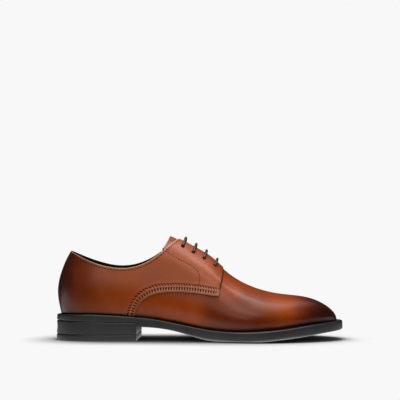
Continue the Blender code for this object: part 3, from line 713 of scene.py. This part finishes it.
QUARTER_THICKNESS = 0.0011
QUARTER_HEM = 0.0008
QUARTER_PLAY = 0.0004
FRONT_EDGE_SLANT = 0.0050
FRONT_EDGE_REACH = 0.030
HOLE_DIAMETER = 0.0042
HOLE_COUNT = 4
FIRST_HOLE = 0.1341
LAST_HOLE = 0.1677
FIRST_INSET = 0.0115
LAST_INSET = 0.0180
HOLE_SIDES = 24
PUNCH_REACH = 0.0035
BACK_ANGLE = 0.1  # the back seam lies within this angle of the heel
LOWER_EDGE_COLUMNS = "station height"
LOWER_EDGE = (
    (0.279, 0.000),
    (0.292, 0.125),
    (0.312, 0.214),
    (0.344, 0.284),
    (0.383, 0.329),
    (0.449, 0.372),
    (0.500, 0.386),
    (0.564, 0.380),
)
lower_table = columns(LOWER_EDGE_COLUMNS, LOWER_EDGE)
LOWER_HEIGHT = smooth(lower_table["station"], lower_table["height"], False, False)
QUARTER_ROWS = (
    (0.0000, 0.0800, 0.0026),
    (0.0800, 0.1120, 0.0011),
    (0.1120, 0.1600, 0.0020),
    (0.1600, THROAT_FOOT, 0.0013),
)
BAND_STEPS = 14  # fine rows of faces in the stitched band over the lower edge
BAND_WIDTH = 0.0110
# place over the lower edge, half width and lift
RIDGES = ((0.0010, 0.0011, 0.00035), (0.0057, 0.0010, 0.00040), (0.0098, 0.0010, 0.00025))
RIDGE_START = (0.070, 0.082)  # from the sole's rear, where they rise
RIDGE_END = 0.006  # behind the front edge, where they sink
REST_STEPS = 26
BAND_LIMIT = 0.6  # of a rib
NORMAL_STEP = 1e-3
CORNER_STEPS = 3  # of the front edge, in its rounded top corner
QUARTER_ROUND = 0.00035


def lower_edge(points):
    station = np.clip(points[:, 0] / SOLE_LENGTH, LOWER_EDGE[0][0], LOWER_EDGE[-1][0])
    height = np.maximum(LOWER_HEIGHT(station) * INSTEP_HEIGHT, QUARTER_HEM)
    return points[:, 2] - sole_top(points[:, 0]) - height


def hole_place(number, side):
    """Station angle and rib place of a lace hole."""
    share = number / (HOLE_COUNT - 1)
    angle = angle_at(FIRST_HOLE + share * (LAST_HOLE - FIRST_HOLE))
    v = np.linspace(upper_end(angle, side), side, RIB_SAMPLES)
    run = length_along(on_last(np.full(RIB_SAMPLES, angle), v))
    inset = FIRST_INSET + share * (LAST_INSET - FIRST_INSET)
    return angle, float(np.interp(inset, run, v))


def hole_punches(side):
    """The punches for one facing's lace holes, in one hidden object."""
    mesh = bmesh.new()
    for number in range(HOLE_COUNT):
        angle, v = hole_place(number, side)
        low, high = on_last([angle, angle], [v, v], [-PUNCH_REACH, PUNCH_REACH]) - ORIGIN
        axis = Vector(high - low)
        place = Matrix.Translation((low + high) / 2) @ axis.to_track_quat("Z", "Y").to_matrix().to_4x4()
        radius = HOLE_DIAMETER / 2
        bmesh.ops.create_cone(
            mesh, cap_ends=True, segments=HOLE_SIDES, radius1=radius, radius2=radius, depth=axis.length,
            matrix=place,
        )
    punches = add_piece(f"punches_{side}", mesh)
    punches.hide_render = True
    return punches


def punch(piece, punches):
    holes = piece.modifiers.new("lace holes", "BOOLEAN")
    holes.operation = "DIFFERENCE"
    holes.solver = "EXACT"
    holes.object = punches


def make_quarter(name, side, surface):
    near_back = np.linspace(0, BACK_ANGLE, 50)
    start = np.interp(SEAM_GAP / 4, np.abs(guides(near_back)[:, 1, 1]), near_back)
    rows = []
    for begin, end, pitch in QUARTER_ROWS:
        rows.append(rib_angles(max(start, angle_at(begin)), angle_at(end), pitch)[:-1])
    rows = np.concatenate([*rows, [angle_at(THROAT_FOOT)]])
    up = np.linspace(0, 1, RIB_SAMPLES)
    points, normals = [], []
    for angle in rows:
        x = LAST_LENGTH * share_of(angle)
        slant = FRONT_EDGE_SLANT * ease((x - THROAT_FOOT + FRONT_EDGE_REACH) / FRONT_EDGE_REACH)
        angles = angle_at(x - slant * (1 - up) ** 2)
        low, top = climb(angles[0], side, lower_edge), upper_end(angle, side)
        v = np.linspace(low, top, RIB_SAMPLES)
        run = length_along(on_last(angles, v))
        band = min(BAND_WIDTH, BAND_LIMIT * run[-1])
        stops = np.concatenate([
            np.linspace(0, band, BAND_STEPS + 1)[:-1], np.linspace(band, run[-1], REST_STEPS + 1)
        ])
        angles, v = np.interp(stops, run, angles), np.interp(stops, run, v)
        points.append(on_last(angles, v, QUARTER_PLAY)[::-side])
        normals.append(on_last(angles, v, QUARTER_PLAY + NORMAL_STEP)[::-side])
    points, normals = np.array(points), np.array(normals)
    normals = (normals - points) / NORMAL_STEP
    first = 0 if side < 0 else -1
    low_line = points[:, first]
    bottom = low_line[low_line[:, 2] - sole_top(low_line[:, 0]) > 2 * QUARTER_HEM]
    front = points[-1][:: -side]
    gap = beside(points.reshape(-1, 3), bottom)[0].reshape(points.shape[:2])
    front_gap = beside(points.reshape(-1, 3), front)[0].reshape(points.shape[:2])
    fade = ease(front_gap / RIDGE_END) * through(points[..., 0], RIDGE_START)
    lift = sum(height * np.exp(-(((gap - middle) / width) ** 2)) for middle, width, height in RIDGES)
    points = points + normals * (lift * fade)[..., None]
    face = points + normals * QUARTER_THICKNESS
    quarter = add_piece(name, sheet(points), surface, lining_leather, inked_edge)
    thicken(quarter, QUARTER_THICKNESS, outwards=True, inside=0, rim=2)
    punches = hole_punches(side)
    punch(quarter, punches)
    punch(vamp, punches)
    round_edges(quarter, QUARTER_ROUND)
    settle(quarter)
    places = points_of(quarter)
    note(quarter, "burnish_and_shade", burnish_and_shade(places))
    low_face = face[:, first]
    front_face = face[-1][:: -side][: BAND_STEPS + REST_STEPS - CORNER_STEPS]
    raised = low_face[:, 2] - sole_top(low_face[:, 0]) > 2 * QUARTER_HEM
    height, along = beside(places, low_face[raised])
    ahead, _ = beside(places, front_face)
    note(quarter, "from_edge", beside(places, face[:, -1 - first])[0])
    note(quarter, "from_front", ahead)
    note(quarter, "from_cut", np.minimum(beside(places, low_face)[0], ahead))
    note(quarter, "band_height", height)
    note(quarter, "band_run", along)
    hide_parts(f"quarter_{'lateral' if side < 0 else 'medial'}")
    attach(quarter, "root")
    edges = {
        "top": (face[:, -1 - first], normals[:, -1 - first]),
        "front": (face[-1][::-side], normals[-1][::-side]),
    }
    return quarter, edges, punches


quarter_calf = calf("burnished_box_calf_quarter", edge=True)
outer_quarter, outer_edges, outer_punches = make_quarter("quarter_outer", -1, quarter_calf)
inner_quarter, inner_edges, inner_punches = make_quarter("quarter_inner", 1, quarter_calf)
settle(vamp)
note(vamp, "burnish_and_shade", burnish_and_shade(points_of(vamp)))
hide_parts("upper")
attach(vamp, "root")
for punches in (outer_punches, inner_punches):
    bpy.data.objects.remove(punches)

# The stitching: one row under the topline and one behind the facing, of fine waxed thread in awl holes, and a
# short row of awl holes up the front edge. The holes are small dark blobs of painted shade.

STITCH = (0.0026, 0.00060, 0.0006)  # length, width and height
PRICK = (0.0013, 0.0012, 0.0006)
STITCH_PITCH = 0.0031
THREAD_LIFT = 0.0004
BETWEEN = 0.75  # of the two thirds of a pitch that evenly steps over: half a pitch
TOP_ROW_INSET = 0.0026
TOP_ROW = (0.004, FACING_CORNER - 0.002)
FRONT_ROW_INSET = 0.0022
FRONT_ROW = (0.0070, 0.0180)
FACING_ROW_COLUMNS = "station height"
FACING_ROW = (
    (0.381, 0.800),
    (0.402, 0.769),
    (0.426, 0.735),
    (0.456, 0.705),
    (0.478, 0.672),
    (0.494, 0.628),
    (0.500, 0.575),
    (0.499, 0.516),
    (0.495, 0.462),
)


def moved_down(edge, distance):
    """The edge's line moved down over the leather, square to itself."""
    line, normals = edge
    along = np.gradient(line, axis=0)
    along /= np.linalg.norm(along, axis=1, keepdims=True)
    across = np.cross(normals, along)
    if across[:, 2].mean() > 0:
        across = -across
    return line + across * distance + normals * THREAD_LIFT


def evenly(line, pitch):
    """Points at even steps along the line, and its directions there."""
    run = length_along(line)
    stops = np.arange(pitch / 2, run[-1], pitch)
    fine = np.stack([np.interp(stops, run, line[:, k]) for k in range(3)], axis=1)
    ahead = np.stack([np.interp(stops + pitch / 3, run, line[:, k]) for k in range(3)], axis=1)
    behind = np.stack([np.interp(stops - pitch / 3, run, line[:, k]) for k in range(3)], axis=1)
    return fine, ahead - behind


def lay(mesh, skin, line, pitch, size, shift=0.0):
    """Small rounded shapes on the leather along the line, each in its direction."""
    for place, along in zip(*evenly(line[1:] if shift else line, pitch)):
        place = place + along * shift
        spot, normal, _, _ = skin.find_nearest(Vector(place - ORIGIN))
        side = normal.cross(Vector(along)).normalized()
        ahead = side.cross(normal).normalized()
        turned = Matrix((ahead, side, normal)).transposed().to_4x4()
        matrix = Matrix.Translation(spot) @ turned
        matrix = matrix @ Matrix.Diagonal((size[0] / 2, size[1] / 2, size[2] / 2, 1.0))
        bmesh.ops.create_uvsphere(mesh, u_segments=8, v_segments=5, radius=1.0, matrix=matrix)


def waxed_thread(name, colours):
    """Waxed linen thread, a little shiny."""
    return plain_leather(name, colours, 0.45, 1500.0)


tan_thread = waxed_thread("waxed_tan_thread", ("#5E2408", "#8C4418"))
# The awl holes are drawn as small dark blobs: painted shade in the holes.
hole_shade = plain_leather("awl_holes_painted_shade", ("#140603", "#260D06"), 0.85, 1500.0)
for name, side, quarter, edges in (
    ("outer", -1, outer_quarter, outer_edges),
    ("inner", 1, inner_quarter, inner_edges),
):
    bpy.context.view_layer.update()
    skin = BVHTree.FromObject(quarter, bpy.context.evaluated_depsgraph_get())
    threads, pricks = bmesh.new(), bmesh.new()
    front_row = edges["front"][0]
    run = length_along(front_row)
    front_row = front_row[(run > FRONT_ROW[0]) & (run < FRONT_ROW[1])] - [FRONT_ROW_INSET, 0, 0]
    lay(pricks, skin, front_row, SLOT_PITCH, PRICK)
    top_row = moved_down(edges["top"], TOP_ROW_INSET)
    top_row = top_row[(top_row[:, 0] > TOP_ROW[0]) & (top_row[:, 0] < TOP_ROW[1])]
    facing = columns(FACING_ROW_COLUMNS, FACING_ROW)
    table = np.stack([facing["station"] * SOLE_LENGTH, facing["height"] * INSTEP_HEIGHT], axis=1)
    order = np.linspace(0, len(FACING_ROW) - 1, 40)
    facing_row = []
    for x, height in smooth(np.arange(len(FACING_ROW)), table, False, False)(order):
        angle = angle_at(x)
        v = climb(angle, side, lambda points: points[:, 2] - sole_top(points[:, 0]) - height)
        facing_row.append(on_last(angle, v, QUARTER_PLAY + QUARTER_THICKNESS + THREAD_LIFT))
    for row in (top_row, np.array(facing_row)):
        lay(threads, skin, row, STITCH_PITCH, STITCH)
        lay(pricks, skin, row, STITCH_PITCH, PRICK, shift=BETWEEN)
    for piece in (
        add_piece(f"thread_{name}", threads, tan_thread),
        add_piece(f"awl_holes_{name}", pricks, hole_shade),
    ):
        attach(piece, "root")

# The tongue: a sheet of the same calf with a black lining. It is caught under the vamp and stands a little
# over the facings.

TONGUE_THICKNESS = 0.0022
TONGUE_PLAY = 0.0008
TONGUE_ROOT = 0.1900
TONGUE_END = 0.1212
TONGUE_END_SLANT = 0.0085
TONGUE_END_REACH = 0.025
TONGUE_HALF = 0.0315
TONGUE_ROW = 0.0026
TONGUE_COLUMNS = 24
TONGUE_BURNISH = 0.12
EDGE_ROUND = 0.0005

rows = rib_angles(angle_at(TONGUE_END), angle_at(TONGUE_ROOT), TONGUE_ROW)
across = np.linspace(-1, 1, TONGUE_COLUMNS + 1)
points = []
for angle in rows:
    x = LAST_LENGTH * share_of(angle)
    slant = TONGUE_END_SLANT * ease((TONGUE_END + TONGUE_END_REACH - x) / TONGUE_END_REACH)
    edges = []
    for side in (-1, 1):
        v = side * np.linspace(0, 1, RIB_SAMPLES)
        run = length_along(on_last(np.full(RIB_SAMPLES, angle), v))
        edges.append(np.interp(TONGUE_HALF, run, np.abs(v)))
    v = across * np.where(across < 0, edges[0], edges[1])
    points.append(on_last(angle_at(x - slant * across**2), v, -UPPER_WALL - TONGUE_PLAY))
tongue_calf = calf("burnished_box_calf_tongue")
tongue = add_piece("tongue_leather", sheet(np.array(points)), tongue_calf, lining_leather)
thicken(tongue, TONGUE_THICKNESS, outwards=False, inside=1)
round_edges(tongue, EDGE_ROUND)
settle(tongue)
note(tongue, "burnish_and_shade", np.full(len(tongue.data.vertices), TONGUE_BURNISH))
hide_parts("tongue")
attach(tongue, "root")

# The insole: a board covered with a thin leather sock, glued in over the lasted edge, inside the foot of
# the upper.

INSOLE_THICKNESS = 0.0028
INSOLE_PLAY = 0.0007
INSOLE_ROW = 0.0045
INSOLE_COLUMNS = 12

rows = rib_angles(0, np.pi, INSOLE_ROW)
across = np.linspace(0, 1, INSOLE_COLUMNS + 1)[:, None]
points = []
for angle in rows:
    outer, inner = on_last([angle, angle], [-1, 1], -UPPER_WALL - INSOLE_PLAY)
    line = outer + across * (inner - outer)
    line[:, 2] = sole_top(line[:, 0]) + SEAM_GAP + INSOLE_THICKNESS
    points.append(line)
sock_leather = plain_leather("tan_sock_leather", ("#6E4426", "#86552F"), 0.5, 500.0)
sock = add_piece("insole_sock", sheet(np.array(points)), sock_leather)
thicken(sock, INSOLE_THICKNESS, outwards=False)
round_edges(sock, EDGE_ROUND)
settle(sock)
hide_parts("insole")
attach(sock, "root")

# The sole unit: one moulding of dark brown rubber with a ledge round the upper, an arch and a toe spring.
# Its heel has a groove under the seat, sides drawn in a little, and a top piece glued on below.

TOP_PIECE_THICKNESS = 0.0063
HEEL_LENGTH = 0.0875
EDGE_CHAMFER = 0.0010
TREAD_INSET = 0.0130
TOP_INSET = 0.0080
HEEL_WAIST = 0.0006
GROOVE_DEPTH = 0.0009
SEAT_FALL = 0.0019
HEEL_TURN = 0.75
TOE_TURN = 1.10
SOLE_ROW = 0.0030
SOLE_EDGE_ANGLE = 30
HEEL_ROUND = 0.0003


def plan_point(angle, side, inset):
    """A point of the sole's outline in plan, drawn in from the edge."""
    width = SECTION["lateral" if side < 0 else "medial"](angle)
    heel_turn = np.cos(np.minimum(angle / HEEL_TURN, 1) * np.pi / 2)
    toe_turn = np.cos(np.minimum((np.pi - angle) / TOE_TURN, 1) * np.pi / 2)
    x = SOLE_LENGTH * share_of(angle) + inset * (heel_turn - toe_turn)
    return x, side * width * (BALL_WIDTH - 2 * inset)


def stack(angles, rings):
    """A closed solid between two halves of rings in plan, each ring given by its inset and its height(x)."""
    points = []
    for angle in angles:
        row = []
        for side, order in ((-1, rings), (1, rings[::-1])):
            for inset, height in order:
                x, y = plan_point(angle, side, inset)
                row.append((x, y, float(height(x))))
        points.append(row + row[:1])
    mesh = sheet(np.array(points))
    bmesh.ops.holes_fill(mesh, edges=[edge for edge in mesh.edges if edge.is_boundary], sides=0)
    bmesh.ops.recalc_face_normals(mesh, faces=mesh.faces)
    return mesh


def seat_underside(x):
    return HEEL_LIFT - SEAT_FALL * x / HEEL_LENGTH


def rubber(name):
    """Moulded rubber: dark brown-grey, dull, with the fine pebble of the mould."""
    surface, tree, shader, place = new_material(name)
    stain = add_node(tree, "TexNoise", {"Vector": place, "Scale": 60.0, "Detail": 4.0})
    colour = ramp(tree, stain.outputs["Fac"], ((0.3, "#211F20"), (0.7, "#2C292A")))
    pebble = add_node(tree, "TexNoise", {"Vector": place, "Scale": 1500.0, "Detail": 1.0})
    bump = add_node(tree, "Bump", {"Height": pebble.outputs["Fac"], "Strength": 0.18, "Distance": 0.0002})
    tree.links.new(colour, shader.inputs["Base Color"])
    tree.links.new(bump.outputs[0], shader.inputs["Normal"])
    shader.inputs["Roughness"].default_value = 0.48
    shader.inputs["IOR"].default_value = 1.52
    return surface


sole_rubber = rubber("moulded_sole_rubber")
breast = angle_of(HEEL_LENGTH / SOLE_LENGTH)
waist = angle_of((HEEL_LENGTH + SEAM_GAP) / SOLE_LENGTH)
rows = np.concatenate([rib_angles(0, breast, SOLE_ROW), rib_angles(waist, np.pi, SOLE_ROW)])


def under(height):
    return lambda x: height(x) if x > HEEL_LENGTH + SEAM_GAP / 2 else seat_underside(x)


rings = (
    (TOP_INSET, sole_top),
    (EDGE_CHAMFER, sole_top),
    (0.0, lambda x: sole_top(x) - EDGE_CHAMFER),
    (0.0, lambda x: under(sole_edge)(x) + EDGE_CHAMFER),
    (EDGE_CHAMFER, under(sole_edge)),
    (TREAD_INSET, under(sole_tread)),
)
sole = add_piece("sole_unit", stack(rows, rings), sole_rubber)
round_edges(sole, EDGE_ROUND, SOLE_EDGE_ANGLE)
settle(sole)
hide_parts("outsole")
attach(sole, "root")

heel_foot = TOP_PIECE_THICKNESS + SEAM_GAP
heel_rows = rib_angles(0, breast, SOLE_ROW)


def block_top(x):
    return seat_underside(x) - SEAM_GAP


block_rings = (
    (TOP_INSET, block_top),
    (GROOVE_DEPTH, block_top),
    (0.0, lambda x: block_top(x) - GROOVE_DEPTH),
    (HEEL_WAIST, lambda x: (block_top(x) + heel_foot) / 2),
    (0.0, lambda x: heel_foot + GROOVE_DEPTH),
    (GROOVE_DEPTH, lambda x: heel_foot),
    (TOP_INSET, lambda x: heel_foot),
)
block = add_piece("heel_stack", stack(heel_rows, block_rings), sole_rubber)
top_piece_rings = (
    (TOP_INSET, lambda x: TOP_PIECE_THICKNESS),
    (GROOVE_DEPTH, lambda x: TOP_PIECE_THICKNESS),
    (0.0, lambda x: TOP_PIECE_THICKNESS - GROOVE_DEPTH),
    (0.0, lambda x: EDGE_CHAMFER / 2),
    (EDGE_CHAMFER / 2, lambda x: 0.0),
    (TOP_INSET, lambda x: 0.0),
)
top_piece = add_piece("heel_tread", stack(heel_rows, top_piece_rings), sole_rubber)
for piece, node in ((block, "heel_block"), (top_piece, "heel_top_piece")):
    round_edges(piece, HEEL_ROUND, SOLE_EDGE_ANGLE)
    settle(piece)
    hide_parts(node)
    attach(piece, "root")

# The lace: round waxed cotton, four straight bars from facing to facing. Each bar's ends turn down into
# the punched holes and stop there.

LACE_DIAMETER = 0.0028
LACE_LEAN = 0.0018
LACE_MIDDLE_POINTS = 12
LACE_BEND = (
    (0.00, -0.82),
    (0.00, -0.40),
    (0.00, 0.10),
    (0.16, 0.44),
    (0.60, 0.63),
    (1.20, 0.67),
)


def lace_cotton(name):
    """Waxed round lace: dark brown cotton, braided, with a dull shine."""
    surface, tree, shader, place = new_material(name)
    braid = add_node(tree, "TexNoise", {"Vector": place, "Scale": 1100.0, "Detail": 2.0})
    colour = ramp(tree, braid.outputs["Fac"], ((0.35, "#3A1E17"), (0.65, "#6A4034")))
    bump = add_node(tree, "Bump", {"Height": braid.outputs["Fac"], "Strength": 0.5, "Distance": 0.0003})
    tree.links.new(colour, shader.inputs["Base Color"])
    tree.links.new(bump.outputs[0], shader.inputs["Normal"])
    shader.inputs["Roughness"].default_value = 0.36
    shader.inputs["Coat Weight"].default_value = 0.50
    shader.inputs["Coat Roughness"].default_value = 0.20
    return surface


waxed_lace = lace_cotton("waxed_cotton_lace")
for number in range(HOLE_COUNT):
    (angle, outer), (_, inner) = hole_place(number, -1), hole_place(number, 1)
    across = np.linspace(-1, 1, RIB_SAMPLES)
    v = outer + (inner - outer) * (across + 1) / 2
    angles = angle_at(LAST_LENGTH * share_of(angle) + LACE_LEAN * (1 - across**2))
    run = length_along(on_last(angles, v))
    bend = np.array(LACE_BEND) * LACE_DIAMETER
    middle = np.linspace(bend[-1, 0], run[-1] - bend[-1, 0], LACE_MIDDLE_POINTS + 2)[1:-1]
    runs = np.concatenate([bend[:, 0], middle, run[-1] - bend[::-1, 0]])
    heights = np.concatenate([bend[:, 1], np.full(middle.shape, bend[-1, 1]), bend[::-1, 1]])
    face = QUARTER_PLAY + QUARTER_THICKNESS
    route = on_last(np.interp(runs, run, angles), np.interp(runs, run, v), face + heights) - ORIGIN
    curve = bpy.data.curves.new("lace", "CURVE")
    curve.dimensions = "3D"
    curve.bevel_depth = LACE_DIAMETER / 2
    curve.bevel_resolution = 4
    curve.use_fill_caps = True
    spline = curve.splines.new("NURBS")
    spline.points.add(len(route) - 1)
    spline.order_u = 3
    spline.use_endpoint_u = True
    spline.resolution_u = 4
    for point, place in zip(spline.points, route):
        point.co = (*place, 1.0)
    curve.materials.append(waxed_lace)
    lace = bpy.data.objects.new(f"lace_bar_run_{number + 1}", curve)
    bpy.context.scene.collection.objects.link(lace)
    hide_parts(f"lace_bar_{number + 1}")
    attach(lace, "root")
